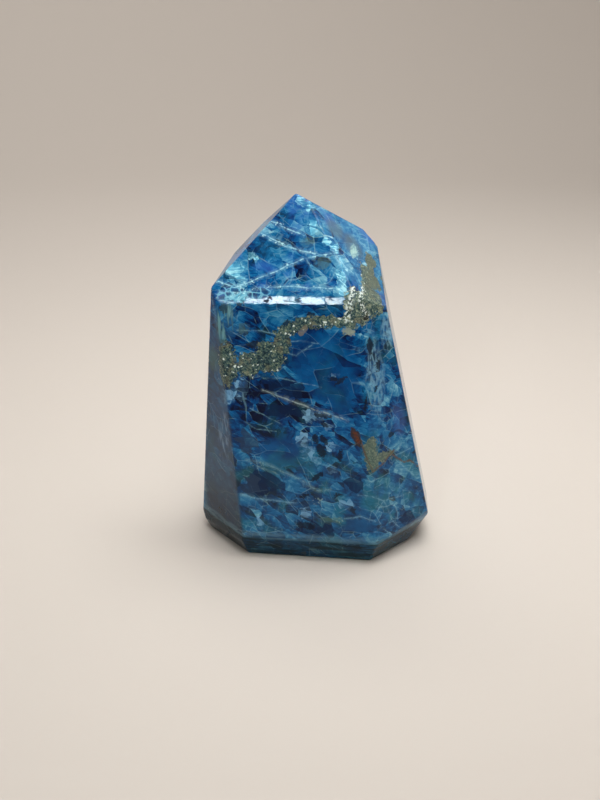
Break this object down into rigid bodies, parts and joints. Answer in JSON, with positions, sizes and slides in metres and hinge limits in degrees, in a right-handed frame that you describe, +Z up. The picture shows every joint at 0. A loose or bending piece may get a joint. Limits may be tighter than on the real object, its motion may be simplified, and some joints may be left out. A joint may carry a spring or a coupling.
{
  "type": "polished blue apatite freeform",
  "caption": "Tall hand-polished point of blue apatite with leaning side facets, an off-centre tip, foot chamfers and a flat base it stands on.",
  "frame": {"origin": "on the flat resting face, below the middle of the stone's outer size", "axes": "+Z up through the tip, -Y out of the broad front facet, +X to the right when facing the front"},
  "size_m": [0.0544, 0.0356, 0.0804],
  "materials": {
    "apatite": "polished, mottled blue with pale veins and an olive granular seam"
  },
  "bodies": {
    "root": {"apatite_point": "apatite"}
  },
  "joints": []
}
